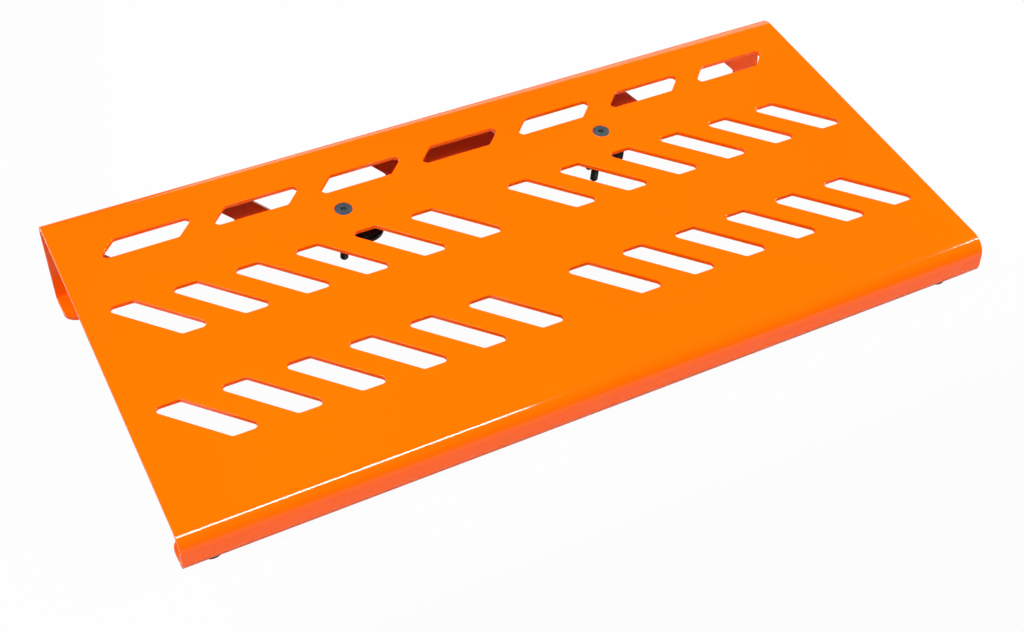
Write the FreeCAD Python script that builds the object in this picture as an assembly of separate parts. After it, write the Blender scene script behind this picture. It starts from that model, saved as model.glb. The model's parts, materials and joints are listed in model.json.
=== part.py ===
import FreeCAD, Part
import math
import os

# Sheet-metal effects-pedal board: one bent and punched sheet with a sloping deck, two screw clamps
# that hold a power supply under the deck, and four rubber feet.
# Row frame, in millimetres: origin on the ground under the middle, +X along the board,
# +Y to the back (high) edge, +Z up.

# ---- driving dimensions ---------------------------------------------------------------------------
BOARD_WIDTH = 603.5            # along X
BOARD_DEPTH = 287.5            # front face to rear wall
SHEET = 3.3                    # sheet thickness
DECK_TILT = 8.9                # degrees, front edge low
DECK_REF_Y = -102.1            # the deck frame's v = 0 line
DECK_REF_Z = 38.9
FOOT_HEIGHT = 4.8              # ground to the underside of both flanges
FRONT_FLANGE = 27.0            # flange depths, from the outer faces
REAR_FLANGE = 30.4
FLANGE_CORNER_R = 10.0
FRONT_TOP_R = 13.5             # outer radii of the four bends
REAR_TOP_R = 12.0
FRONT_BOTTOM_R = 7.0
REAR_BOTTOM_R = 5.5
EDGE_ROUND = 0.25              # softened cut edges under the powder coat
BROAD_FACE_AREA = 12000.0      # every broad face is larger, and every cut face smaller

# Diagonal slots: two rows, each of two groups, all leaning back-left to front-right at 45 degrees
SLOT_PITCH = 43.4
SLOT_SIDE = 21.6               # side along X
SLOT_REACH = 40.8              # front to back, and so also the lean
SLOT_CORNER_R = 3.3
SLOTS_PER_GROUP = 6
SLOT_ROWS_V = (37.4, 129.0)    # row centres up the slope
SLOT_GROUPS_U = (-146.9, 146.9)

# Cross slots near the back edge, leaning the other way
CROSS_COUNT = 7
CROSS_PITCH = 79.75
CROSS_SIDE = 58.0
CROSS_REACH = 16.3
CROSS_CORNER_R = 3.5
CROSS_ROW_V = 200.9

# Cable openings in the rear wall
REAR_OPENINGS_X = (-223.0, -100.5, 98.0, 220.5)
REAR_OPENING_SIDE = 96.0
REAR_OPENING_HEIGHT = 31.0
REAR_OPENING_Z = 40.5
REAR_OPENING_CORNER_R = 3.5

# Clamp screws: M6 countersunk, hexagon socket
CLAMP_U = 105.15
CLAMP_V = 173.3
SCREW_R = 3.0
SCREW_LENGTH = 50.0
SCREW_HEAD_R = 6.45
SCREW_LAND = 0.25              # short cylinder at the head's rim
SCREW_SINK = 0.1               # head lies just under the deck's face
SCREW_SOCKET_FLATS = 4.0
SCREW_SOCKET_DEPTH = 2.3
SCREW_END_CHAMFER = 1.2
SINK_CLEARANCE = 0.12
THREAD_CLEARANCE = 0.05

NUT_RIM = 0.97                 # radius of a nut's flat face, as a share of half its flats
NUT_BEVEL = 30.0               # degrees, where a nut's corners are turned down
WASHER_BREAK = 0.15            # broken edge of a washer, as a share of its thickness
DRILL_POINT = 0.5              # depth of a drilled socket's point, as a share of its radius

JAM_NUT_FLATS = 10.0
JAM_NUT_HEIGHT = 3.2
JAM_NUT_BORE_CHAMFER = 0.95
JAM_NUT_CLEARANCE = 0.02

# Clamp: a strip with a turned-up heel, a round toe and a rubber pad
CLAMP_STRIP = 3.0
CLAMP_HALF_WIDTH = 14.5
CLAMP_TOE_CENTRE = 15.5        # centre of the round toe, from the screw
CLAMP_HEEL = 13.5              # outer face of the heel, from the screw
CLAMP_BEND_R = 5.0             # outer radius where the heel turns up
CLAMP_BOTTOM = 26.0            # underside of the strip, below the deck's face
CLAMP_GAP = 0.3                # heel to deck when run right up
CLAMP_HEEL_CORNER_R = 3.0
PAD_THICKNESS = 2.0
PAD_INSET = 1.5
PAD_START = 9.5                # from the screw
PAD_CORNER_R = 2.0
PAD_EDGE_R = 0.6
CLAMP_TURNS = {"left": 0.0, "right": 90.0}   # toe direction in the deck plane, degrees from +X

CLAMP_WASHER_R = 6.0
CLAMP_WASHER = 1.6
CLAMP_NUT_FLATS = 10.0
CLAMP_NUT_HEX = 4.6            # wrenching height of the lock nut
CLAMP_NUT_HEIGHT = 6.0
CLAMP_NUT_COLLAR_R = 4.7
CLAMP_NUT_COLLAR_ROUND = 0.8
CLAMP_NUT_OVERLAP = 1.0        # how far the collar runs into the hexagon before they are joined

# Feet, each with an M4 button-head screw, a washer and a nut
FOOT_X = {"left": -281.0, "right": 273.5}
FOOT_Y = {"front": -129.4, "rear": 129.4}
FOOT_TOP_R = 8.5
FOOT_BOTTOM_R = 7.8
FOOT_EDGE_R = 1.0
FOOT_RECESS_R = 4.6
FOOT_RECESS_DEPTH = 3.0
FOOT_SCREW_R = 2.0
FOOT_HOLE_R = 2.2
FOOT_HEAD_R = 3.8
FOOT_HEAD_HEIGHT = 2.2
FOOT_SOCKET_FLATS = 2.5
FOOT_SOCKET_DEPTH = 1.3
FOOT_WASHER_R = 4.5
FOOT_WASHER = 0.8
FOOT_NUT_FLATS = 7.0
FOOT_NUT_HEIGHT = 3.2
FOOT_THREAD_CHAMFER = 0.4
FOOT_SCREW_PROUD = 1.4         # thread past the nut

UP = FreeCAD.Vector(0, 0, 1)
ORIGIN = FreeCAD.Vector(0, 0, 0)
OVERSHOOT = 5.0                # how far a cutting tool runs past the faces it opens


def deck_placement(u=0.0, v=0.0, turn=0.0):
    """Placement whose XY plane is the deck's upper face: X along the board, Y up the slope."""
    slope = FreeCAD.Placement(
        FreeCAD.Vector(0, DECK_REF_Y, DECK_REF_Z), FreeCAD.Rotation(FreeCAD.Vector(1, 0, 0), DECK_TILT)
    )
    return slope.multiply(FreeCAD.Placement(FreeCAD.Vector(u, v, 0), FreeCAD.Rotation(UP, turn)))


def placed(shape, placement):
    """Copy of the shape moved from its own frame to the placement."""
    moved = shape.copy()
    moved.transformShape(placement.toMatrix())
    return moved


def line(a, b):
    """Straight edge between two points."""
    return Part.LineSegment(a, b).toShape()


def rounded_run(points, radii):
    """Edges of the open run through the points, with each inner corner turned into a tangent arc."""
    edges = []
    start = points[0]
    for before, corner, after, radius in zip(points, points[1:], points[2:], radii):
        inward = (before - corner).normalize()
        outward = (after - corner).normalize()
        half_angle = inward.getAngle(outward) / 2
        reach = radius / math.tan(half_angle)
        first = corner + inward * reach
        last = corner + outward * reach
        towards_centre = (inward + outward).normalize()
        middle = corner + towards_centre * (radius / math.sin(half_angle) - radius)
        edges.append(line(start, first))
        edges.append(Part.Arc(first, middle, last).toShape())
        start = last
    edges.append(line(start, points[-1]))
    return edges


def rounded_outline(points, radius):
    """Closed wire through the points with every corner rounded to one radius."""
    middle_of_last = (points[-1] + points[0]) * 0.5
    run = [middle_of_last] + list(points) + [middle_of_last]
    return Part.Wire(rounded_run(run, [radius] * len(points)))


def prism(wire, depth):
    """Solid from a closed wire in the XY plane, running from there down by depth."""
    return Part.Face(wire).extrude(UP * -depth)


def leaning_slot(side, reach, lean, corner_r):
    """Outline of a slot centred on the origin: two sides along X, and ends that shift by lean."""
    left_back = FreeCAD.Vector(-side / 2 - lean / 2, reach / 2, 0)
    left_front = FreeCAD.Vector(-side / 2 + lean / 2, -reach / 2, 0)
    along = FreeCAD.Vector(side, 0, 0)
    return rounded_outline([left_back, left_front, left_front + along, left_back + along], corner_r)


def revolved(points):
    """Solid of revolution about Z from an outline in the XZ plane."""
    face = Part.Face(Part.makePolygon([FreeCAD.Vector(x, 0, z) for x, z in points + points[:1]]))
    return face.revolve(ORIGIN, UP, 360)


def hexagon(flats, z):
    """Regular hexagon in the plane at z, by its distance across flats."""
    radius = flats / math.sqrt(3)
    corners = [
        FreeCAD.Vector(radius * math.cos(math.radians(60 * i)), radius * math.sin(math.radians(60 * i)), z)
        for i in range(7)
    ]
    return Part.makePolygon(corners)


def hex_socket(flats, depth, top):
    """Cutting tool for a hexagon socket with a drilled, pointed bottom."""
    walls = prism(hexagon(flats, top + OVERSHOOT), depth + OVERSHOOT)
    drill_r = flats / 2
    drop = drill_r * DRILL_POINT
    point = Part.makeCone(0, drill_r, drop, FreeCAD.Vector(0, 0, top - depth - drop), UP)
    return walls.fuse(point)


def hex_nut(flats, height, bore_r, bore_chamfer):
    """Hexagon nut whose lower face is at z = 0, with corners turned down at both faces."""
    body = prism(hexagon(flats, height), height)
    rim = flats / 2 * NUT_RIM
    corner = flats / math.sqrt(3)
    drop = (corner - rim) * math.tan(math.radians(NUT_BEVEL))
    barrel = revolved([
        (0, 0), (rim, 0), (corner, drop), (corner, height - drop), (rim, height), (0, height),
    ])
    bore = Part.makeCylinder(bore_r, height)
    wide = bore_r + bore_chamfer
    lower = Part.makeCone(wide, bore_r, bore_chamfer)
    upper = Part.makeCone(bore_r, wide, bore_chamfer, FreeCAD.Vector(0, 0, height - bore_chamfer), UP)
    return body.common(barrel).cut(bore.fuse([lower, upper]))


def washer(radius, bore_r, thickness):
    """Flat washer whose lower face is at z = 0, with a broken outer edge."""
    edge = thickness * WASHER_BREAK
    return revolved([
        (bore_r, 0), (radius - edge, 0), (radius, edge), (radius, thickness - edge),
        (radius - edge, thickness), (bore_r, thickness),
    ])


# ---- the sheet ------------------------------------------------------------------------------------
def offset_corner(before, corner, after, distance):
    """The corner moved inside the bend, so that both neighbouring runs move by the distance."""
    inward = (before - corner).normalize()
    outward = (after - corner).normalize()
    half_angle = inward.getAngle(outward) / 2
    return corner + (inward + outward).normalize() * (distance / math.sin(half_angle))


def sheet_section():
    """Face of the bent sheet's section, in the plane at the board's left end."""
    x = -BOARD_WIDTH / 2
    front = -BOARD_DEPTH / 2
    back = BOARD_DEPTH / 2
    slope = math.tan(math.radians(DECK_TILT))
    deck_z = [DECK_REF_Z + (y - DECK_REF_Y) * slope for y in (front, back)]
    outer = [
        FreeCAD.Vector(x, front + FRONT_FLANGE, FOOT_HEIGHT),
        FreeCAD.Vector(x, front, FOOT_HEIGHT),
        FreeCAD.Vector(x, front, deck_z[0]),
        FreeCAD.Vector(x, back, deck_z[1]),
        FreeCAD.Vector(x, back, FOOT_HEIGHT),
        FreeCAD.Vector(x, back - REAR_FLANGE, FOOT_HEIGHT),
    ]
    radii = [FRONT_BOTTOM_R, FRONT_TOP_R, REAR_TOP_R, REAR_BOTTOM_R]
    rise = UP * SHEET
    inner = [outer[0] + rise]
    for before, corner, after in zip(outer, outer[1:], outer[2:]):
        inner.append(offset_corner(before, corner, after, SHEET))
    inner.append(outer[-1] + rise)
    edges = rounded_run(outer, radii) + rounded_run(inner, [r - SHEET for r in radii])
    edges.append(line(outer[0], inner[0]))
    edges.append(line(outer[-1], inner[-1]))
    return Part.Face(Part.Wire(Part.__sortEdges__(edges)))


def flange_corner_tools():
    """Tools that round the free corners of both flanges."""
    tools = []
    for side in (-1, 1):
        for edge_y, inward in ((FRONT_FLANGE - BOARD_DEPTH / 2, -1), (BOARD_DEPTH / 2 - REAR_FLANGE, 1)):
            corner = FreeCAD.Vector(side * BOARD_WIDTH / 2, edge_y, FOOT_HEIGHT + SHEET * 2)
            along_x = FreeCAD.Vector(-side * FLANGE_CORNER_R, 0, 0)
            along_y = FreeCAD.Vector(0, inward * FLANGE_CORNER_R, 0)
            centre = corner + along_x + along_y
            middle = centre - (along_x + along_y).normalize() * FLANGE_CORNER_R
            past = FreeCAD.Vector(side, -inward, 0)
            outline = Part.Wire([
                line(corner + along_y, corner + along_y + FreeCAD.Vector(side, 0, 0)),
                line(corner + along_y + FreeCAD.Vector(side, 0, 0), corner + past),
                line(corner + past, corner + along_x + FreeCAD.Vector(0, -inward, 0)),
                line(corner + along_x + FreeCAD.Vector(0, -inward, 0), corner + along_x),
                Part.Arc(corner + along_x, middle, corner + along_y).toShape(),
            ])
            tools.append(prism(outline, SHEET * 3))
    return tools


def deck_slot_tools():
    """Tools for the two diagonal rows and the row of cross slots."""
    diagonal = leaning_slot(SLOT_SIDE, SLOT_REACH, SLOT_REACH, SLOT_CORNER_R)
    cross = leaning_slot(CROSS_SIDE, CROSS_REACH, -CROSS_REACH, CROSS_CORNER_R)
    places = []
    for v in SLOT_ROWS_V:
        for group_u in SLOT_GROUPS_U:
            for i in range(SLOTS_PER_GROUP):
                u = group_u + (i - (SLOTS_PER_GROUP - 1) / 2) * SLOT_PITCH
                places.append((diagonal, u, v))
    for i in range(CROSS_COUNT):
        places.append((cross, (i - (CROSS_COUNT - 1) / 2) * CROSS_PITCH, CROSS_ROW_V))
    lift = FreeCAD.Placement(FreeCAD.Vector(0, 0, OVERSHOOT), FreeCAD.Rotation())
    depth = SHEET + 2 * OVERSHOOT
    return [placed(prism(wire, depth), deck_placement(u, v).multiply(lift)) for wire, u, v in places]


def rear_opening_tools():
    """Tools for the cable openings, whose ends lean to +X as they go down."""
    lean = REAR_OPENING_HEIGHT
    outline = leaning_slot(REAR_OPENING_SIDE, REAR_OPENING_HEIGHT, lean, REAR_OPENING_CORNER_R)
    upright = FreeCAD.Rotation(FreeCAD.Vector(1, 0, 0), 90)
    start_y = BOARD_DEPTH / 2 - SHEET - OVERSHOOT
    tools = []
    for x in REAR_OPENINGS_X:
        place = FreeCAD.Placement(FreeCAD.Vector(x, start_y, REAR_OPENING_Z), upright)
        tools.append(placed(prism(outline, SHEET + 2 * OVERSHOOT), place))
    return tools


def screw_sink_tools():
    """Countersinks for the two clamp screws."""
    wide = SCREW_HEAD_R + SINK_CLEARANCE
    land = SCREW_SINK + SCREW_LAND
    deep = SHEET + OVERSHOOT
    cone_end = land + wide - (SCREW_R + SINK_CLEARANCE)
    tool = revolved([
        (0, OVERSHOOT), (wide, OVERSHOOT), (wide, -land),
        (SCREW_R + SINK_CLEARANCE, -cone_end), (SCREW_R + SINK_CLEARANCE, -deep), (0, -deep),
    ])
    return [placed(tool, deck_placement(side * CLAMP_U, CLAMP_V)) for side in (-1, 1)]


def foot_hole_tools():
    """Holes for the foot screws in both flanges."""
    base = FOOT_HEIGHT - SHEET
    return [
        Part.makeCylinder(FOOT_HOLE_R, SHEET * 3, FreeCAD.Vector(x, y, base))
        for x in FOOT_X.values()
        for y in FOOT_Y.values()
    ]


def cut_edges(sheet):
    """Edges of the slots and openings, where a cut face meets one of the sheet's broad faces."""
    chosen = []
    for edge in sheet.Edges:
        faces = sheet.ancestorsOfType(edge, Part.Face)
        areas = sorted(face.Area for face in faces)
        if len(areas) == 2 and areas[0] < BROAD_FACE_AREA < areas[1] and not touches_end(edge):
            chosen.append(edge)
    return chosen


def touches_end(edge):
    """Whether the edge reaches the board's left or right end."""
    box = edge.BoundBox
    return max(abs(box.XMin), abs(box.XMax)) > BOARD_WIDTH / 2 - 0.1


def board_sheet():
    """The whole board: the bent section, punched, with softened edges around every slot."""
    sheet = sheet_section().extrude(FreeCAD.Vector(BOARD_WIDTH, 0, 0))
    sheet = sheet.cut(deck_slot_tools() + rear_opening_tools() + flange_corner_tools())
    if sheet.ShapeType == "Compound":
        sheet = sheet.Solids[0]
    sheet = sheet.makeFillet(EDGE_ROUND, cut_edges(sheet))
    sheet = sheet.cut(screw_sink_tools() + foot_hole_tools())
    return sheet.Solids[0]


# ---- clamps ---------------------------------------------------------------------------------------
def clamp_screw():
    """Countersunk screw in the deck frame: its axis is Z and the deck's face is z = 0."""
    top = -SCREW_SINK
    land = top - SCREW_LAND
    neck = land - (SCREW_HEAD_R - SCREW_R)
    tip = top - SCREW_LENGTH
    blank = revolved([
        (0, top), (SCREW_HEAD_R, top), (SCREW_HEAD_R, land), (SCREW_R, neck),
        (SCREW_R, tip + SCREW_END_CHAMFER), (SCREW_R - SCREW_END_CHAMFER, tip), (0, tip),
    ])
    return blank.cut(hex_socket(SCREW_SOCKET_FLATS, SCREW_SOCKET_DEPTH, top))


def jam_nut():
    """Thin nut that fixes the screw, tight against the deck's underside."""
    nut = hex_nut(JAM_NUT_FLATS, JAM_NUT_HEIGHT, SCREW_R + JAM_NUT_CLEARANCE, JAM_NUT_BORE_CHAMFER)
    nut.translate(FreeCAD.Vector(0, 0, -SHEET - JAM_NUT_HEIGHT))
    return nut


def clamp_bracket():
    """Strip with a heel turned up towards the deck and a round toe, about the screw's axis."""
    low = -CLAMP_BOTTOM
    heel_top = -SHEET - CLAMP_GAP
    toe_end = CLAMP_TOE_CENTRE + CLAMP_HALF_WIDTH
    outer = [
        FreeCAD.Vector(-CLAMP_HEEL, 0, heel_top),
        FreeCAD.Vector(-CLAMP_HEEL, 0, low),
        FreeCAD.Vector(toe_end, 0, low),
    ]
    inner = [
        FreeCAD.Vector(-CLAMP_HEEL + CLAMP_STRIP, 0, heel_top),
        FreeCAD.Vector(-CLAMP_HEEL + CLAMP_STRIP, 0, low + CLAMP_STRIP),
        FreeCAD.Vector(toe_end, 0, low + CLAMP_STRIP),
    ]
    edges = rounded_run(outer, [CLAMP_BEND_R]) + rounded_run(inner, [CLAMP_BEND_R - CLAMP_STRIP])
    edges.append(line(outer[0], inner[0]))
    edges.append(line(outer[-1], inner[-1]))
    section = Part.Face(Part.Wire(Part.__sortEdges__(edges)))
    section.translate(FreeCAD.Vector(0, -CLAMP_HALF_WIDTH, 0))
    strip = section.extrude(FreeCAD.Vector(0, 2 * CLAMP_HALF_WIDTH, 0))
    strip = strip.common(clamp_plan(low - OVERSHOOT, CLAMP_BOTTOM + 2 * OVERSHOOT))
    strip = strip.makeFillet(CLAMP_HEEL_CORNER_R, heel_corners(strip, heel_top))
    base = FreeCAD.Vector(0, 0, low - OVERSHOOT)
    bore = Part.makeCylinder(SCREW_R + THREAD_CLEARANCE, CLAMP_BOTTOM, base)
    return strip.cut(bore)


def clamp_plan(base_z, height):
    """Block with the clamp's plan: square at the heel and round at the toe."""
    w = CLAMP_HALF_WIDTH
    back = -CLAMP_HEEL - OVERSHOOT
    corners = [FreeCAD.Vector(x, y, base_z) for x, y in (
        (CLAMP_TOE_CENTRE, -w), (back, -w), (back, w), (CLAMP_TOE_CENTRE, w))]
    tip = FreeCAD.Vector(CLAMP_TOE_CENTRE + w, 0, base_z)
    edges = [line(a, b) for a, b in zip(corners, corners[1:])]
    edges.append(Part.Arc(corners[3], tip, corners[0]).toShape())
    return Part.Face(Part.Wire(edges)).extrude(UP * height)


def heel_corners(strip, heel_top):
    """The heel's two free corners: short edges through the strip's thickness at the top."""
    chosen = []
    for edge in strip.Edges:
        box = edge.BoundBox
        across = abs(box.XLength - CLAMP_STRIP) < 0.01 and box.YLength < 0.01 and box.ZLength < 0.01
        if across and abs(box.ZMax - heel_top) < 0.01:
            chosen.append(edge)
    return chosen


def clamp_pad():
    """Rubber pad bonded to the clamp's upper face, following the round toe."""
    w = CLAMP_HALF_WIDTH - PAD_INSET
    top = -CLAMP_BOTTOM + CLAMP_STRIP + PAD_THICKNESS
    near = PAD_START
    corner = PAD_CORNER_R
    quarter = corner * (1 - math.sqrt(0.5))
    pts = {
        "low": FreeCAD.Vector(CLAMP_TOE_CENTRE, -w, top),
        "high": FreeCAD.Vector(CLAMP_TOE_CENTRE, w, top),
        "tip": FreeCAD.Vector(CLAMP_TOE_CENTRE + w, 0, top),
    }
    a = FreeCAD.Vector(near + corner, -w, top)
    b = FreeCAD.Vector(near, -w + corner, top)
    c = FreeCAD.Vector(near, w - corner, top)
    d = FreeCAD.Vector(near + corner, w, top)
    outline = Part.Wire([
        Part.Arc(pts["high"], pts["tip"], pts["low"]).toShape(),
        line(pts["low"], a),
        Part.Arc(a, FreeCAD.Vector(near + quarter, -w + quarter, top), b).toShape(),
        line(b, c),
        Part.Arc(c, FreeCAD.Vector(near + quarter, w - quarter, top), d).toShape(),
        line(d, pts["high"]),
    ])
    pad = prism(outline, PAD_THICKNESS)
    upper = [e for e in pad.Edges if e.BoundBox.ZMin > top - 0.01]
    return pad.makeFillet(PAD_EDGE_R, upper)


def clamp_washer():
    """Washer under the clamp's strip."""
    ring = washer(CLAMP_WASHER_R, SCREW_R + THREAD_CLEARANCE, CLAMP_WASHER)
    ring.translate(FreeCAD.Vector(0, 0, -CLAMP_BOTTOM - CLAMP_WASHER))
    return ring


def clamp_nut():
    """Lock nut, collar down, under the washer."""
    bore_r = SCREW_R + THREAD_CLEARANCE
    nut = hex_nut(CLAMP_NUT_FLATS, CLAMP_NUT_HEX, bore_r, JAM_NUT_BORE_CHAMFER)
    nut.translate(FreeCAD.Vector(0, 0, CLAMP_NUT_HEIGHT - CLAMP_NUT_HEX))
    collar = Part.makeCylinder(CLAMP_NUT_COLLAR_R, CLAMP_NUT_HEIGHT - CLAMP_NUT_HEX + CLAMP_NUT_OVERLAP)
    rim = [e for e in collar.Edges if e.BoundBox.ZMax < 0.01 and e.Closed]
    collar = collar.makeFillet(CLAMP_NUT_COLLAR_ROUND, rim)
    collar = collar.cut(Part.makeCylinder(bore_r, CLAMP_NUT_HEIGHT))
    whole = nut.fuse(collar)
    whole.translate(FreeCAD.Vector(0, 0, -CLAMP_BOTTOM - CLAMP_WASHER - CLAMP_NUT_HEIGHT))
    return whole.removeSplitter()


# ---- feet -----------------------------------------------------------------------------------------
def rubber_foot():
    """Tapered foot, ground at z = 0, with a recess for the screw's head."""
    cone = Part.makeCone(FOOT_BOTTOM_R, FOOT_TOP_R, FOOT_HEIGHT)
    rim = [e for e in cone.Edges if e.BoundBox.ZMax < 0.01 and e.Closed]
    cone = cone.makeFillet(FOOT_EDGE_R, rim)
    recess = Part.makeCylinder(FOOT_RECESS_R, FOOT_RECESS_DEPTH)
    bore = Part.makeCylinder(FOOT_HOLE_R, FOOT_HEIGHT)
    return cone.cut([recess, bore])


def foot_screw():
    """Button-head screw, head up inside the recess, thread through flange, washer and nut."""
    seat = FOOT_RECESS_DEPTH
    base = seat - FOOT_HEAD_HEIGHT
    end = FOOT_HEIGHT + SHEET + FOOT_WASHER + FOOT_NUT_HEIGHT + FOOT_SCREW_PROUD
    crown_r = (FOOT_HEAD_R ** 2 + FOOT_HEAD_HEIGHT ** 2) / (2 * FOOT_HEAD_HEIGHT)
    ball = Part.makeSphere(crown_r, FreeCAD.Vector(0, 0, base + crown_r))
    head = Part.makeCylinder(FOOT_HEAD_R, FOOT_HEAD_HEIGHT, FreeCAD.Vector(0, 0, base)).common(ball)
    shank = revolved([
        (0, seat), (FOOT_SCREW_R, seat), (FOOT_SCREW_R, end - FOOT_THREAD_CHAMFER),
        (FOOT_SCREW_R - FOOT_THREAD_CHAMFER, end), (0, end),
    ])
    screw = head.fuse(shank).removeSplitter()
    socket = hexagon(FOOT_SOCKET_FLATS, base + FOOT_SOCKET_DEPTH)
    return screw.cut(prism(socket, FOOT_HEAD_HEIGHT + OVERSHOOT))


def foot_washer():
    """Washer on the flange's upper face."""
    ring = washer(FOOT_WASHER_R, FOOT_HOLE_R, FOOT_WASHER)
    ring.translate(FreeCAD.Vector(0, 0, FOOT_HEIGHT + SHEET))
    return ring


def foot_nut():
    """Nut on the washer."""
    nut = hex_nut(FOOT_NUT_FLATS, FOOT_NUT_HEIGHT, FOOT_SCREW_R, FOOT_THREAD_CHAMFER)
    nut.translate(FreeCAD.Vector(0, 0, FOOT_HEIGHT + SHEET + FOOT_WASHER))
    return nut


# ---- assembly -------------------------------------------------------------------------------------
def build_nodes():
    """Every piece of the object in place, by node name."""
    nodes = {"board_sheet": board_sheet()}
    for side, sign in (("left", -1), ("right", 1)):
        fixed = deck_placement(sign * CLAMP_U, CLAMP_V)
        turned = deck_placement(sign * CLAMP_U, CLAMP_V, CLAMP_TURNS[side])
        nodes[side + "_clamp_screw"] = placed(clamp_screw(), fixed)
        nodes[side + "_jam_nut"] = placed(jam_nut(), fixed)
        nodes[side + "_clamp_bracket"] = placed(clamp_bracket(), turned)
        nodes[side + "_clamp_pad"] = placed(clamp_pad(), turned)
        nodes[side + "_clamp_washer"] = placed(clamp_washer(), fixed)
        nodes[side + "_clamp_lock_nut"] = placed(clamp_nut(), fixed)
    for end, y in FOOT_Y.items():
        for side, x in FOOT_X.items():
            place = FreeCAD.Placement(FreeCAD.Vector(x, y, 0), FreeCAD.Rotation())
            name = end + "_" + side
            nodes[name + "_foot"] = placed(rubber_foot(), place)
            nodes[name + "_foot_screw"] = placed(foot_screw(), place)
            nodes[name + "_foot_washer"] = placed(foot_washer(), place)
            nodes[name + "_foot_nut"] = placed(foot_nut(), place)
    return nodes


def main():
    os.makedirs("parts", exist_ok=True)
    for name, shape in build_nodes().items():
        solids = shape.Solids
        if len(solids) == 1:
            shape = solids[0]
        print(f"{name}: {len(solids)} solid, valid {shape.isValid()}, {shape.Volume:.0f} mm3")
        shape.exportStep(f"parts/{name}.step")


main()
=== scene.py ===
"""Studio scene of a bent sheet-metal pedalboard, dressed over its engineering model.

The engineering model gives every piece's place and size. This script adds the finishes, the cut
threads and moulded feet that replace the plain solids, the floor, the lights and the camera.
"""

from __future__ import annotations

import json
import logging
import math
from collections.abc import Callable, Iterable, Mapping, Sequence
from dataclasses import dataclass, field
from enum import Enum
from typing import Any

import bmesh
import bpy
from mathutils import Matrix, Quaternion, Vector

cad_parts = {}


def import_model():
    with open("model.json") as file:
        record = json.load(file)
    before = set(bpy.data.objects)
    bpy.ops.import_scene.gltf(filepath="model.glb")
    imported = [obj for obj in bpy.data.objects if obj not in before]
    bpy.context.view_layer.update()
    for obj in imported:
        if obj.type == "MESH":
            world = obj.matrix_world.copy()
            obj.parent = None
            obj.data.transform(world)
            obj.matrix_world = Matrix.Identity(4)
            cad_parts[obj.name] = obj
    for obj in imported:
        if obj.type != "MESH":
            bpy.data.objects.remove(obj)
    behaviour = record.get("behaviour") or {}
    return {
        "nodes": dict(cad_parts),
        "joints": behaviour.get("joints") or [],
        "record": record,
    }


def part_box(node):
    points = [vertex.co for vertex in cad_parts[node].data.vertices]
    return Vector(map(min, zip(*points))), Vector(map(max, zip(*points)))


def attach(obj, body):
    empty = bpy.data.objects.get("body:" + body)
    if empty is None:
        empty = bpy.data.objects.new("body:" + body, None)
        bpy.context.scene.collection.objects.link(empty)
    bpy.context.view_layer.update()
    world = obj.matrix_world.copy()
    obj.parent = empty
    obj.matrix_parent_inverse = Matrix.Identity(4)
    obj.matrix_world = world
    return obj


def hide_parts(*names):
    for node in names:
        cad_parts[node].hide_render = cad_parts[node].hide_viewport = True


LOG = logging.getLogger("pedalboard")
MM = 0.001
WAVE_BANDS = 20.0  # bands of a wave texture in one unit, at scale 1
CUT_TOLERANCE = 1e-7  # metres within which a vertex counts as lying on a cut

Radius = float | Callable[[float], float]
Point = tuple[float, float]


# ---- colour and nodes -----------------------------------------------------------------------------
def linear(colour: str, alpha: float = 1.0) -> tuple[float, float, float, float]:
    """Turn an sRGB hex colour into the linear values that a shader takes.

    Args:
        colour: The colour as "#RRGGBB".
        alpha: The fourth value.

    Returns:
        Linear red, green and blue, and alpha.
    """
    values = (int(colour[i : i + 2], 16) / 255 for i in (1, 3, 5))
    red, green, blue = (v / 12.92 if v <= 0.04045 else ((v + 0.055) / 1.055) ** 2.4 for v in values)
    return red, green, blue, alpha


def per_metre(size_mm: float) -> float:
    """Give the texture scale at which one feature of the pattern spans a size in millimetres."""
    return 1.0 / (size_mm * MM)


def add_node(
    tree: bpy.types.NodeTree, kind: str, inputs: Mapping[str | int, Any] | None = None, **settings: Any
) -> bpy.types.Node:
    """Add a node, set its properties, and set or link its inputs.

    Args:
        tree: The node tree to add to.
        kind: The node's type name.
        inputs: For each input, by name or number, a value to set or a socket to link from.
        settings: Properties of the node itself.

    Returns:
        The new node.
    """
    node = tree.nodes.new(kind)
    for key, value in settings.items():
        setattr(node, key, value)
    for key, value in (inputs or {}).items():
        if isinstance(value, bpy.types.NodeSocket):
            tree.links.new(value, node.inputs[key])
        else:
            node.inputs[key].default_value = value
    return node


class Slot(Enum):
    """Material slots of the engineering model's record."""

    POWDER_COAT = "powder_coat"
    BLACK_ZINC = "black_zinc_steel"
    CLAMP_STEEL = "clamp_steel"
    BRIGHT_ZINC = "zinc_steel"
    PAD_RUBBER = "pad_rubber"
    FOOT_RUBBER = "foot_rubber"


class Side(Enum):
    """The board's two sides, with the sign of X on each."""

    LEFT = -1
    RIGHT = 1

    @property
    def word(self) -> str:
        """The side's name in node names."""
        return self.name.lower()


# ---- finishes -------------------------------------------------------------------------------------
@dataclass(frozen=True)
class Finish:
    """What every finish has: a name, and a shader tree that starts from object coordinates."""

    name: str

    def new_tree(self) -> tuple[bpy.types.Material, bpy.types.NodeTree, bpy.types.NodeSocket]:
        """Make an empty material.

        Returns:
            The material, its node tree, and the socket of object coordinates in metres.
        """
        material = bpy.data.materials.new(self.name)
        material.use_nodes = True
        tree = material.node_tree
        tree.nodes.clear()
        place = add_node(tree, "ShaderNodeTexCoord")
        return material, tree, place.outputs["Object"]

    @staticmethod
    def close(tree: bpy.types.NodeTree, shader: bpy.types.Node) -> None:
        """Link the shader to the material's output."""
        add_node(tree, "ShaderNodeOutputMaterial", {"Surface": shader.outputs["BSDF"]})


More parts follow.
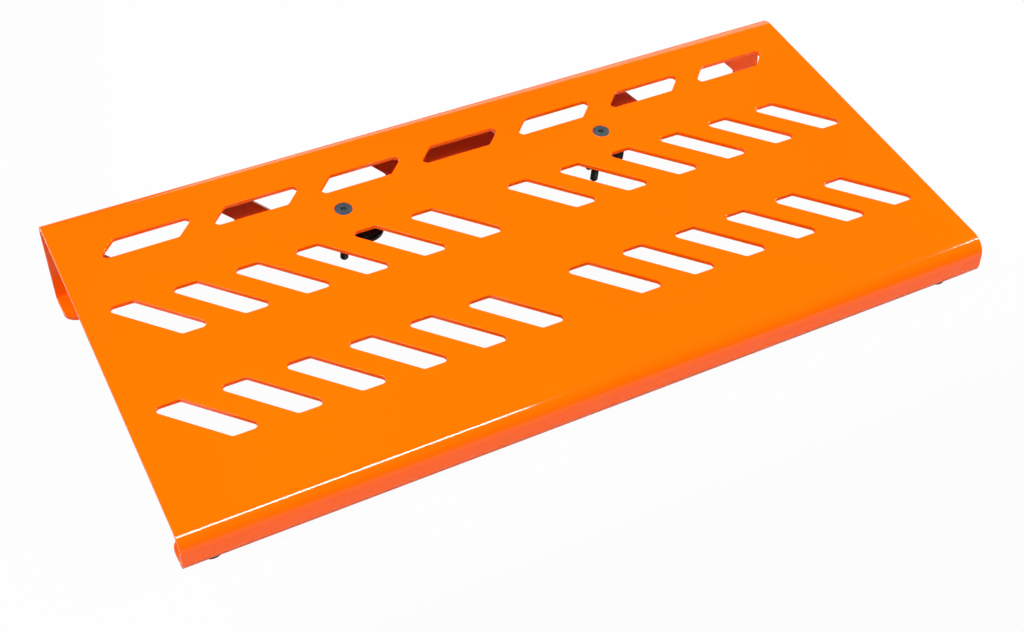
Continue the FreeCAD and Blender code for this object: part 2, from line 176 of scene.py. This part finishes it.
@dataclass(frozen=True)
class GlossPowderCoat(Finish):
    """Polyester powder sprayed dry and baked: it flows into a thick, hard gloss film.

    The film keeps a faint orange peel, so reflections in it waver, and its depth of colour drifts
    a little over the sheet.
    """

    name: str = "gloss_orange_powder_coat"
    body: str = "#F45C00"
    warm: str = "#F35600"
    ior: float = 1.5
    gloss_low: float = 0.05
    gloss_high: float = 0.09
    peel_mm: float = 3.2
    peel_height_mm: float = 0.006
    grain_mm: float = 0.9
    grain_height_mm: float = 0.001
    drift_mm: float = 160.0

    def material(self) -> bpy.types.Material:
        """Build the coat's material."""
        material, tree, place = self.new_tree()
        drift = add_node(
            tree, "ShaderNodeTexNoise", {"Vector": place, "Scale": per_metre(self.drift_mm), "Detail": 1.0}
        )
        colour = add_node(
            tree,
            "ShaderNodeMix",
            {"Factor": drift.outputs["Fac"], "A": linear(self.body), "B": linear(self.warm)},
            data_type="RGBA",
        )
        peel = add_node(
            tree,
            "ShaderNodeTexNoise",
            {"Vector": place, "Scale": per_metre(self.peel_mm), "Detail": 1.5, "Roughness": 0.4},
        )
        grain = add_node(
            tree, "ShaderNodeTexNoise", {"Vector": place, "Scale": per_metre(self.grain_mm), "Detail": 1.0}
        )
        gloss = add_node(
            tree,
            "ShaderNodeMapRange",
            {"Value": drift.outputs["Fac"], "To Min": self.gloss_low, "To Max": self.gloss_high},
        )
        waves = add_node(
            tree, "ShaderNodeBump", {"Height": peel.outputs["Fac"], "Distance": self.peel_height_mm * MM}
        )
        film = add_node(
            tree,
            "ShaderNodeBump",
            {
                "Height": grain.outputs["Fac"],
                "Distance": self.grain_height_mm * MM,
                "Normal": waves.outputs["Normal"],
            },
        )
        shader = add_node(
            tree,
            "ShaderNodeBsdfPrincipled",
            {
                "Base Color": colour.outputs["Result"],
                "Roughness": gloss.outputs["Result"],
                "IOR": self.ior,
                "Normal": film.outputs["Normal"],
            },
        )
        self.close(tree, shader)
        return material


@dataclass(frozen=True)
class PlatedSteel(Finish):
    """Cold-headed steel under a thin electroplated layer, such as bright or black zinc.

    Plating follows the turned or pressed surface, so fine lathe rings and small cloudy patches of
    the passivation show in it.
    """

    name: str = "bright_zinc"
    dark: str = "#8D9094"
    pale: str = "#B9BCC0"
    metallic: float = 1.0
    roughness: float = 0.3
    ring_mm: float = 0.35
    ring_height_mm: float = 0.004
    cloud_mm: float = 4.0
    cleaner: float = 0.06
    cloudier: float = 0.08

    def material(self) -> bpy.types.Material:
        """Build the plated steel's material."""
        material, tree, place = self.new_tree()
        clouds = add_node(
            tree, "ShaderNodeTexNoise", {"Vector": place, "Scale": per_metre(self.cloud_mm), "Detail": 4.0}
        )
        colour = add_node(
            tree,
            "ShaderNodeMix",
            {"Factor": clouds.outputs["Fac"], "A": linear(self.dark), "B": linear(self.pale)},
            data_type="RGBA",
        )
        rings = add_node(
            tree,
            "ShaderNodeTexWave",
            {
                "Vector": place,
                "Scale": per_metre(self.ring_mm) / WAVE_BANDS,
                "Distortion": 0.6,
                "Detail": 1.0,
            },
            wave_type="RINGS",
            rings_direction="Z",
        )
        relief = add_node(
            tree, "ShaderNodeBump", {"Height": rings.outputs["Fac"], "Distance": self.ring_height_mm * MM}
        )
        patchy = add_node(
            tree,
            "ShaderNodeMapRange",
            {
                "Value": clouds.outputs["Fac"],
                "To Min": self.roughness - self.cleaner,
                "To Max": self.roughness + self.cloudier,
            },
        )
        shader = add_node(
            tree,
            "ShaderNodeBsdfPrincipled",
            {
                "Base Color": colour.outputs["Result"],
                "Metallic": self.metallic,
                "Roughness": patchy.outputs["Result"],
                "Normal": relief.outputs["Normal"],
            },
        )
        self.close(tree, shader)
        return material


@dataclass(frozen=True)
class SatinBlackCoat(Finish):
    """Fine-texture black powder coat on pressed steel strip: small grains that scatter the light."""

    name: str = "satin_black_coat"
    body: str = "#141516"
    worn: str = "#232426"
    ior: float = 1.5
    roughness: float = 0.38
    grain_mm: float = 0.7
    grain_height_mm: float = 0.02
    cloud_mm: float = 9.0

    def material(self) -> bpy.types.Material:
        """Build the black coat's material."""
        material, tree, place = self.new_tree()
        clouds = add_node(
            tree, "ShaderNodeTexNoise", {"Vector": place, "Scale": per_metre(self.cloud_mm), "Detail": 3.0}
        )
        colour = add_node(
            tree,
            "ShaderNodeMix",
            {"Factor": clouds.outputs["Fac"], "A": linear(self.body), "B": linear(self.worn)},
            data_type="RGBA",
        )
        grain = add_node(
            tree, "ShaderNodeTexNoise", {"Vector": place, "Scale": per_metre(self.grain_mm), "Detail": 2.0}
        )
        relief = add_node(
            tree, "ShaderNodeBump", {"Height": grain.outputs["Fac"], "Distance": self.grain_height_mm * MM}
        )
        shader = add_node(
            tree,
            "ShaderNodeBsdfPrincipled",
            {
                "Base Color": colour.outputs["Result"],
                "Roughness": self.roughness,
                "IOR": self.ior,
                "Normal": relief.outputs["Normal"],
            },
        )
        self.close(tree, shader)
        return material


@dataclass(frozen=True)
class MouldedRubber(Finish):
    """Compression-moulded rubber: matt, near black, with the mould's fine spark texture."""

    name: str = "moulded_rubber"
    body: str = "#161616"
    bloom: str = "#262624"
    ior: float = 1.52
    roughness: float = 0.72
    spark_mm: float = 0.45
    spark_height_mm: float = 0.03
    bloom_mm: float = 6.0

    def material(self) -> bpy.types.Material:
        """Build the rubber's material."""
        material, tree, place = self.new_tree()
        bloom = add_node(
            tree, "ShaderNodeTexNoise", {"Vector": place, "Scale": per_metre(self.bloom_mm), "Detail": 4.0}
        )
        colour = add_node(
            tree,
            "ShaderNodeMix",
            {"Factor": bloom.outputs["Fac"], "A": linear(self.body), "B": linear(self.bloom)},
            data_type="RGBA",
        )
        spark = add_node(
            tree, "ShaderNodeTexVoronoi", {"Vector": place, "Scale": per_metre(self.spark_mm)}
        )
        relief = add_node(
            tree,
            "ShaderNodeBump",
            {"Height": spark.outputs["Distance"], "Distance": self.spark_height_mm * MM},
        )
        shader = add_node(
            tree,
            "ShaderNodeBsdfPrincipled",
            {
                "Base Color": colour.outputs["Result"],
                "Roughness": self.roughness,
                "IOR": self.ior,
                "Normal": relief.outputs["Normal"],
            },
        )
        self.close(tree, shader)
        return material


# ---- mesh building --------------------------------------------------------------------------------
def ring(mesh: bmesh.types.BMesh, radius: Radius, height: float, segments: int) -> list[bmesh.types.BMVert]:
    """Add one closed ring of vertices about Z.

    Args:
        mesh: The mesh to add to.
        radius: The ring's radius, or a function of the angle that gives it.
        height: The ring's Z.
        segments: How many vertices it has.

    Returns:
        The ring's vertices in order.
    """
    made = []
    for i in range(segments):
        angle = 2 * math.pi * i / segments
        r = radius(angle) if callable(radius) else radius
        made.append(mesh.verts.new((r * math.cos(angle), r * math.sin(angle), height)))
    return made


def skin(
    mesh: bmesh.types.BMesh, rings: Sequence[tuple[Radius, float]], segments: int, closed: bool = False
) -> None:
    """Join rings, given as (radius, height), into one surface.

    Args:
        mesh: The mesh to add to.
        rings: The rings from one end of the surface to the other.
        segments: How many vertices each ring has.
        closed: Whether the last ring joins the first, as on a foot or washer with a hole. If not,
            both ends are capped.
    """
    loops = [ring(mesh, radius, height, segments) for radius, height in rings]
    pairs = list(zip(loops, loops[1:]))
    if closed:
        pairs.append((loops[-1], loops[0]))
    for lower, upper in pairs:
        for i in range(segments):
            j = (i + 1) % segments
            mesh.faces.new((lower[i], lower[j], upper[j], upper[i]))
    if not closed:
        mesh.faces.new(list(reversed(loops[0])))
        mesh.faces.new(loops[-1])


def hexagon(flats: float) -> Callable[[float], float]:
    """Give the radius of a regular hexagon at an angle, from its distance across flats."""

    def radius(angle: float) -> float:
        sixth = math.pi / 3
        return flats / 2 / math.cos(angle % sixth - sixth / 2)

    return radius


def rounded(corner: Point, before: Point, after: Point, radius: float, steps: int = 5) -> list[Point]:
    """Round one corner of a profile.

    Args:
        corner: The corner as (radius, height).
        before: The profile's point before it.
        after: The profile's point after it.
        radius: The rounding's radius.
        steps: How many spans the arc has.

    Returns:
        The arc's points, from the run before the corner to the run after it.
    """
    point = Vector(corner)
    inward = (Vector(before) - point).normalized()
    outward = (Vector(after) - point).normalized()
    half = inward.angle(outward) / 2
    centre = point + (inward + outward).normalized() * (radius / math.sin(half))
    start = point + inward * (radius / math.tan(half)) - centre
    end = point + outward * (radius / math.tan(half)) - centre
    arc = []
    for i in range(steps + 1):
        blend = start.lerp(end, i / steps).normalized() * radius
        arc.append(tuple(centre + blend))
    return arc


@dataclass(frozen=True)
class Thread:
    """ISO metric thread: 60 degree flanks, a flat crest of an eighth of the pitch and a flat root."""

    major: float
    pitch: float
    depth_share: float = 0.6134
    root_share: float = 0.25
    flank_share: float = 0.3125
    crest_share: float = 0.125
    steps: int = 28

    @property
    def minor(self) -> float:
        """The root's radius."""
        return self.major - self.depth_share * self.pitch

    def cut(self, mesh: bmesh.types.BMesh, tip: float, top: float, chamfer: float) -> None:
        """Add the threaded length as one closed helical surface.

        Args:
            mesh: The mesh to add to.
            tip: Z of the screw's free end.
            top: Z of the other end, inside the head or neck.
            chamfer: Length of the 45 degree cone at the free end.
        """
        sign = 1.0 if top > tip else -1.0
        rise = self.root_share + self.flank_share
        profile = (
            (0.0, self.minor),
            (self.root_share, self.minor),
            (rise, self.major),
            (rise + self.crest_share, self.major),
        )
        turns = int(abs(top - tip) / self.pitch) + 3
        first = min(tip, top) - self.pitch
        count = turns * self.steps

        def vertex(j: int, phase: float, radius: float) -> bmesh.types.BMVert:
            angle = 2 * math.pi * j / self.steps
            z = first + self.pitch * (j / self.steps + phase)
            cone = self.major - chamfer + max(0.0, (z - tip) * sign)
            r = min(radius, cone)
            return mesh.verts.new((r * math.cos(angle), r * math.sin(angle), z))

        grid = [[vertex(j, *point) for point in profile] for j in range(count + 1)]
        made = []
        for j in range(count - self.steps):
            for k in range(len(profile)):
                wrap = k + 1 == len(profile)
                over, shift = (0, self.steps) if wrap else (k + 1, 0)
                corners = (grid[j][k], grid[j + 1][k], grid[j + 1 + shift][over], grid[j + shift][over])
                made.append(mesh.faces.new(corners))
        spare = [v for row in grid for v in row if not v.link_faces]
        bmesh.ops.delete(mesh, geom=spare, context="VERTS")
        self.trim(mesh, made, min(tip, top), Vector((0, 0, -1)))
        self.trim(mesh, made, max(tip, top), Vector((0, 0, 1)))

    @staticmethod
    def trim(mesh: bmesh.types.BMesh, faces: list[bmesh.types.BMFace], z: float, outward: Vector) -> None:
        """Cut the surface at a height, drop what lies outward of it and close the hole."""
        faces = [f for f in faces if f.is_valid]
        # dict.fromkeys drops repeats and keeps the order, so each run cuts the same mesh.
        edges = dict.fromkeys(e for f in faces for e in f.edges)
        verts = dict.fromkeys(v for f in faces for v in f.verts)
        cut = bmesh.ops.bisect_plane(
            mesh,
            geom=[*faces, *edges, *verts],
            plane_co=(0, 0, z),
            plane_no=outward,
            clear_outer=True,
            dist=CUT_TOLERANCE,
        )
        rim = [e for e in cut["geom_cut"] if isinstance(e, bmesh.types.BMEdge) and e.is_boundary]
        bmesh.ops.edgenet_fill(mesh, edges=rim)


def finish_mesh(
    name: str, mesh: bmesh.types.BMesh, place: Matrix, material: bpy.types.Material, sharp_deg: float = 32.0
) -> bpy.types.Object:
    """Turn a built mesh into a shaded object.

    Args:
        name: The object's name.
        mesh: The built mesh, in its own frame and in metres. It is freed.
        place: The object's place in the row frame.
        material: The material that it wears.
        sharp_deg: Edges that turn by more than this stay sharp.

    Returns:
        The new object.
    """
    bmesh.ops.recalc_face_normals(mesh, faces=mesh.faces)
    data = bpy.data.meshes.new(name)
    mesh.to_mesh(data)
    mesh.free()
    data.shade_smooth()
    data.set_sharp_from_angle(angle=math.radians(sharp_deg))
    data.materials.append(material)
    piece = bpy.data.objects.new(name, data)
    bpy.context.scene.collection.objects.link(piece)
    piece.matrix_world = place
    return piece


# ---- the engineering frame ------------------------------------------------------------------------
@dataclass(frozen=True)
class Axis:
    """A straight axis in the row frame, and what lies about it."""

    origin: Vector
    direction: Vector

    @property
    def place(self) -> Matrix:
        """Frame with Z along the axis, and X as near to the row's +X as it can be."""
        z = self.direction.normalized()
        y = z.cross(Vector((1, 0, 0))).normalized()
        x = y.cross(z)
        rotation = Matrix((x, y, z)).transposed().to_4x4()
        return Matrix.Translation(self.origin) @ rotation

    def span(self, node: bpy.types.Object) -> tuple[float, float]:
        """Give the lowest and highest station of a node along the axis."""
        stations = [(v.co - self.origin).dot(self.direction) for v in node.data.vertices]
        return min(stations), max(stations)

    def reach(self, node: bpy.types.Object) -> float:
        """Give the largest distance of a node's surface from the axis."""
        return max(
            (v.co - self.origin - self.direction * (v.co - self.origin).dot(self.direction)).length
            for v in node.data.vertices
        )


@dataclass
class Frame:
    """The loaded engineering model."""

    nodes: dict[str, bpy.types.Object]
    joints: list[dict[str, Any]]
    body_of: dict[str, str]

    @classmethod
    def load(cls) -> Frame:
        """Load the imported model."""
        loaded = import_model()
        bodies = loaded["record"]["behaviour"]["bodies"]
        body_of = {node: body for body, members in bodies.items() for node in members}
        return cls(loaded["nodes"], loaded["joints"], body_of)

    def joint_axis(self, name: str) -> Axis:
        """Give the axis of a hinge, by the joint's name."""
        joint = next(j for j in self.joints if j["name"] == name)
        return Axis(Vector(joint["pos_m"]), Vector(joint["axis"]).normalized())

    def dress(self, names: Iterable[str], material: bpy.types.Material) -> None:
        """Put a material on engineering nodes that stay as they are."""
        for name in names:
            slots = self.nodes[name].data.materials
            slots.clear()
            slots.append(material)
            LOG.info("dressed %s in %s", name, material.name)

    def stand_in(self, piece: bpy.types.Object, node: str, slot: Slot) -> None:
        """Let a finer piece take the place of an engineering node, on the same body."""
        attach(piece, self.body_of[node])
        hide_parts(node)
        LOG.info("built %s in place of %s", piece.name, node)


# ---- sub-assemblies -------------------------------------------------------------------------------
@dataclass
class Board:
    """The bent and punched sheet."""

    frame: Frame
    coat: GlossPowderCoat = field(default_factory=GlossPowderCoat)

    def build(self) -> None:
        """Dress the sheet."""
        self.frame.dress(["board_sheet"], self.coat.material())


@dataclass
class Clamp:
    """One screw clamp under the deck: screw, jam nut, strip, pad, washer and lock nut."""

    frame: Frame
    side: Side
    black_zinc: bpy.types.Material
    strip_coat: bpy.types.Material
    rubber: bpy.types.Material
    pitch: float = 1.0 * MM
    socket_flats: float = 4.0 * MM
    socket_depth: float = 2.3 * MM
    socket_mouth: float = 0.35 * MM
    socket_lip: float = 0.1 * MM
    socket_lip_depth: float = 0.02 * MM
    socket_break: float = 0.3 * MM
    drill_share: float = 0.96
    drill_point: float = 1.0 * MM
    drill_tip_r: float = 0.1 * MM
    shank_r: float = 3.0 * MM
    neck_gap: float = 0.15 * MM
    rim_land: float = 0.25 * MM
    rim_round: float = 0.15 * MM
    thread_lap: float = 0.3 * MM
    end_chamfer: float = 1.0 * MM
    segments: int = 96

    def build(self) -> None:
        """Build the screw and dress the rest."""
        word = self.side.word
        self.build_screw(f"{word}_clamp_screw")
        self.frame.dress(
            [f"{word}_jam_nut", f"{word}_clamp_washer", f"{word}_clamp_lock_nut"], self.black_zinc
        )
        self.frame.dress([f"{word}_clamp_bracket"], self.strip_coat)
        self.frame.dress([f"{word}_clamp_pad"], self.rubber)

    def build_screw(self, node: str) -> None:
        """Build the countersunk screw with its hexagon socket and cut thread.

        Args:
            node: The engineering node that it replaces.
        """
        axis = self.frame.joint_axis(f"{self.side.word}_clamp_swivel")
        solid = self.frame.nodes[node]
        tip, top = axis.span(solid)
        head = axis.reach(solid)
        neck = top - self.rim_land - (head - self.shank_r)
        core = self.shank_r - self.neck_gap
        runout = neck - self.pitch
        socket = hexagon(self.socket_flats)
        floor = top - self.socket_depth
        mesh = bmesh.new()
        skin(
            mesh,
            [
                (core, runout),
                (core, neck + self.neck_gap),
                (head, top - self.rim_land),
                (head, top - self.rim_round),
                (head - self.rim_round, top),
                (lambda a: socket(a) + self.socket_mouth, top),
                (lambda a: socket(a) + self.socket_lip, top - self.socket_lip_depth),
                (socket, top - self.socket_break),
                (socket, floor),
                (self.socket_flats / 2 * self.drill_share, floor),
                (self.drill_tip_r, floor - self.drill_point),
            ],
            self.segments,
        )
        Thread(self.shank_r, self.pitch).cut(mesh, tip, runout + self.thread_lap, self.end_chamfer)
        screw = finish_mesh(f"{self.side.word}_countersunk_screw", mesh, axis.place, self.black_zinc)
        self.frame.stand_in(screw, node, Slot.BLACK_ZINC)


@dataclass
class Foot:
    """One rubber foot with its screw, washer and nut."""

    frame: Frame
    end: str
    side: Side
    rubber: bpy.types.Material
    bright_zinc: bpy.types.Material
    recess_r: float = 4.6 * MM
    recess_depth: float = 3.0 * MM
    bore_r: float = 2.2 * MM
    ground_r: float = 7.8 * MM
    edge_round: float = 1.0 * MM
    groove_r: float = 5.8 * MM
    groove_half: float = 0.4 * MM
    groove_depth: float = 0.35 * MM
    groove_draft: float = 0.6
    lip_round: float = 0.3 * MM
    lip_steps: int = 3
    edge_steps: int = 6
    thread_r: float = 2.0 * MM
    thread_gap: float = 0.1 * MM
    thread_lap: float = 0.7
    end_chamfer: float = 0.4 * MM
    pitch: float = 0.7 * MM
    head_height: float = 2.2 * MM
    seat_chamfer: float = 0.1 * MM
    socket_flats: float = 2.5 * MM
    socket_depth: float = 1.3 * MM
    socket_mouth: float = 0.15 * MM
    socket_lip_depth: float = 0.02 * MM
    land_share: float = 1.35
    drill_share: float = 0.95
    drill_point: float = 0.5 * MM
    drill_tip_r: float = 0.1 * MM
    dome_spans: int = 8
    segments: int = 96

    @property
    def word(self) -> str:
        """The start of the foot's node names."""
        return f"{self.end}_{self.side.word}_foot"

    @property
    def axis(self) -> Axis:
        """The foot's upright axis, from the ground."""
        low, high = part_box(self.word)
        return Axis(Vector(((low.x + high.x) / 2, (low.y + high.y) / 2, low.z)), Vector((0, 0, 1)))

    def build(self) -> None:
        """Build the foot and its screw, and dress the washer and nut."""
        self.build_foot()
        self.build_screw()
        self.frame.dress([f"{self.word}_washer", f"{self.word}_nut"], self.bright_zinc)

    def build_foot(self) -> None:
        """Build the moulded foot: tapered side, rounded rim, grip groove and screw recess."""
        axis = self.axis
        solid = self.frame.nodes[self.word]
        height = axis.span(solid)[1]
        top_r = axis.reach(solid)
        side_top = (top_r, height)
        rim = (self.ground_r, 0.0)
        mouth = (self.recess_r, 0.0)
        groove_floor = self.groove_half * self.groove_draft
        groove = [
            (self.groove_r + self.groove_half, 0.0),
            (self.groove_r + groove_floor, self.groove_depth),
            (self.groove_r - groove_floor, self.groove_depth),
            (self.groove_r - self.groove_half, 0.0),
        ]
        profile = [
            (self.bore_r, height),
            *rounded(side_top, (self.bore_r, height), rim, self.lip_round, self.lip_steps),
            *rounded(rim, side_top, mouth, self.edge_round, self.edge_steps),
            *groove,
            *rounded(mouth, rim, (self.recess_r, self.recess_depth), self.lip_round, self.lip_steps),
            (self.recess_r, self.recess_depth),
            (self.bore_r, self.recess_depth),
        ]
        mesh = bmesh.new()
        skin(mesh, profile, self.segments, closed=True)
        foot = finish_mesh(f"{self.word}_moulding", mesh, axis.place, self.rubber)
        self.frame.stand_in(foot, self.word, Slot.FOOT_RUBBER)

    def build_screw(self) -> None:
        """Build the button-head screw, head down in the recess."""
        axis = self.axis
        node = f"{self.word}_screw"
        solid = self.frame.nodes[node]
        bottom, end = axis.span(solid)
        head_r = axis.reach(solid)
        seat = bottom + self.head_height
        crown = (head_r**2 + self.head_height**2) / (2 * self.head_height)
        socket = hexagon(self.socket_flats)
        core = self.thread_r - self.thread_gap
        land = self.socket_flats / 2 * self.land_share
        dome = []
        for i in range(self.dome_spans + 1):
            r = head_r + (land - head_r) * i / self.dome_spans
            dome.append((r, seat - self.head_height + crown - math.sqrt(crown**2 - r**2)))
        flat = dome[-1][1]
        floor = flat + self.socket_depth
        mesh = bmesh.new()
        skin(
            mesh,
            [
                (core, seat + self.pitch),
                (core, seat),
                (head_r - self.seat_chamfer, seat),
                *dome,
                (lambda a: socket(a) + self.socket_mouth, flat - self.socket_lip_depth),
                (socket, flat + self.socket_mouth),
                (socket, floor),
                (self.socket_flats / 2 * self.drill_share, floor),
                (self.drill_tip_r, floor + self.drill_point),
            ],
            self.segments,
        )
        top = seat + self.pitch * self.thread_lap
        Thread(self.thread_r, self.pitch).cut(mesh, end, top, self.end_chamfer)
        screw = finish_mesh(f"{self.word}_button_screw", mesh, axis.place, self.bright_zinc)
        self.frame.stand_in(screw, node, Slot.BRIGHT_ZINC)


# ---- studio ---------------------------------------------------------------------------------------
@dataclass(frozen=True)
class Softbox:
    """One rectangular studio light that points at a target."""

    name: str
    place: tuple[float, float, float]
    width: float
    depth: float
    watts: float
    colour: str = "#FFFFFF"
    target: tuple[float, float, float] = (0.0, 0.0, 0.03)

    def build(self) -> None:
        """Add the light."""
        data = bpy.data.lights.new(self.name, "AREA")
        data.shape = "RECTANGLE"
        data.size = self.width
        data.size_y = self.depth
        data.energy = self.watts
        data.color = linear(self.colour)[:3]
        lamp = bpy.data.objects.new(self.name, data)
        bpy.context.scene.collection.objects.link(lamp)
        lamp.location = self.place
        away = Vector(self.place) - Vector(self.target)
        lamp.rotation_euler = away.to_track_quat("Z", "Y").to_euler()


@dataclass
class Studio:
    """White table, soft lights, dim studio walls and the camera.

    The view sees a white table and a pale backdrop. Reflections and bounced light see a pale
    sheet on a darker table, a bright ground far below and dim walls.
    """

    floor_side: float = 24.0
    sheet_tone: str = "#9A9A9A"
    table_tone: str = "#3A3A3A"
    sheet_front: float = -0.215
    sheet_fade: float = 0.03
    table_glow: float = 0.97
    table_roughness: float = 0.08
    backdrop_tone: str = "#F7F7F7"
    wall_light: float = 0.02
    ground_light: float = 0.5
    horizon_low: float = -0.1
    horizon_high: float = 0.02
    camera_place: tuple[float, float, float] = (-0.39910, -0.74823, 0.69483)
    camera_aim: tuple[float, float, float] = (0.35375, 0.67598, -0.64646)
    camera_roll_deg: float = -0.29
    lens_mm: float = 52.99
    sensor_mm: float = 36.0
    lights: tuple[Softbox, ...] = (
        Softbox("front_strip", (0.1, -1.15, 1.42), 0.9, 0.22, 17.0),
        Softbox("left_softbox", (-1.0, -0.4, 1.6), 1.0, 1.0, 39.0),
        Softbox("right_softbox", (1.75, -0.4, 1.15), 0.8, 0.8, 58.0),
        Softbox("low_fill", (-0.9, -1.4, 0.3), 0.6, 0.4, 4.0),
        Softbox("rear_fill", (-1.1, 1.5, 0.7), 0.9, 0.9, 26.0),
        Softbox("rear_panel", (0.8, 1.3, 0.6), 1.7, 0.8, 6.5),
    )

    def build(self) -> None:
        """Build the whole studio."""
        self.build_floor()
        self.build_walls()
        for light in self.lights:
            light.build()
        self.build_camera()

    def build_floor(self) -> None:
        """Lay the floor: white to the view, and a pale sheet on a darker table to reflections.

        The sheet reaches a little past the front of the board.
        """
        data = bpy.data.meshes.new("studio_floor")
        half = self.floor_side / 2
        corners = [(x, y, 0.0) for x, y in ((-half, -half), (half, -half), (half, half), (-half, half))]
        data.from_pydata(corners, [], [(0, 1, 2, 3)])
        floor = bpy.data.objects.new("studio_floor", data)
        bpy.context.scene.collection.objects.link(floor)
        material = bpy.data.materials.new("pale_table")
        material.use_nodes = True
        tree = material.node_tree
        tree.nodes.clear()
        place = add_node(tree, "ShaderNodeTexCoord")
        split = add_node(tree, "ShaderNodeSeparateXYZ", {0: place.outputs["Object"]})
        on_sheet = add_node(
            tree,
            "ShaderNodeMapRange",
            {
                "Value": split.outputs["Y"],
                "From Min": self.sheet_front - self.sheet_fade,
                "From Max": self.sheet_front + self.sheet_fade,
            },
        )
        tone = add_node(
            tree,
            "ShaderNodeMix",
            {
                "Factor": on_sheet.outputs["Result"],
                "A": linear(self.table_tone),
                "B": linear(self.sheet_tone),
            },
            data_type="RGBA",
        )
        top = add_node(
            tree,
            "ShaderNodeBsdfPrincipled",
            {"Base Color": tone.outputs["Result"], "Roughness": self.table_roughness},
        )
        glow = add_node(tree, "ShaderNodeEmission", {"Color": linear("#FFFFFF")})
        seen = add_node(tree, "ShaderNodeLightPath")
        share = add_node(
            tree,
            "ShaderNodeMath",
            {0: seen.outputs["Is Camera Ray"], 1: self.table_glow},
            operation="MULTIPLY",
        )
        both = add_node(
            tree,
            "ShaderNodeMixShader",
            {0: share.outputs["Value"], 1: top.outputs["BSDF"], 2: glow.outputs["Emission"]},
        )
        add_node(tree, "ShaderNodeOutputMaterial", {"Surface": both.outputs["Shader"]})
        data.materials.append(material)

    def build_walls(self) -> None:
        """Surround the scene with dim studio walls, which the view shows as a pale backdrop."""
        world = bpy.data.worlds.new("studio_walls")
        bpy.context.scene.world = world
        world.use_nodes = True
        tree = world.node_tree
        tree.nodes.clear()
        place = add_node(tree, "ShaderNodeTexCoord")
        split = add_node(tree, "ShaderNodeSeparateXYZ", {0: place.outputs["Generated"]})
        level = add_node(
            tree,
            "ShaderNodeMapRange",
            {
                "Value": split.outputs["Z"],
                "From Min": self.horizon_low,
                "From Max": self.horizon_high,
                "To Min": self.ground_light,
                "To Max": self.wall_light,
            },
        )
        walls = add_node(
            tree, "ShaderNodeBackground", {"Color": linear("#FFFFFF"), "Strength": level.outputs["Result"]}
        )
        backdrop = add_node(tree, "ShaderNodeBackground", {"Color": linear(self.backdrop_tone)})
        seen = add_node(tree, "ShaderNodeLightPath")
        both = add_node(
            tree,
            "ShaderNodeMixShader",
            {
                0: seen.outputs["Is Camera Ray"],
                1: walls.outputs["Background"],
                2: backdrop.outputs["Background"],
            },
        )
        add_node(tree, "ShaderNodeOutputWorld", {"Surface": both.outputs["Shader"]})

    def build_camera(self) -> None:
        """Set the camera at the viewing angle."""
        data = bpy.data.cameras.new("camera")
        data.lens = self.lens_mm
        data.sensor_width = self.sensor_mm
        camera = bpy.data.objects.new("camera", data)
        bpy.context.scene.collection.objects.link(camera)
        camera.location = self.camera_place
        aim = Vector(self.camera_aim).to_track_quat("-Z", "Y")
        roll = Quaternion((0, 0, 1), math.radians(self.camera_roll_deg))
        camera.rotation_euler = (aim @ roll).to_euler()
        bpy.context.scene.camera = camera


def main() -> None:
    """Build every sub-assembly and the studio."""
    logging.basicConfig(level=logging.INFO, format="%(name)s: %(message)s")
    frame = Frame.load()
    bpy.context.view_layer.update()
    bpy.context.scene.view_settings.view_transform = "Standard"

    black_zinc = PlatedSteel(
        name="black_zinc", dark="#3D454A", pale="#5E6970", metallic=0.7, roughness=0.42
    ).material()
    bright_zinc = PlatedSteel().material()
    strip_coat = SatinBlackCoat().material()
    rubber = MouldedRubber().material()

    Board(frame).build()
    for side in Side:
        Clamp(frame, side, black_zinc, strip_coat, rubber).build()
        for end in ("front", "rear"):
            Foot(frame, end, side, rubber, bright_zinc).build()
    Studio().build()


if __name__ == "__main__":
    main()
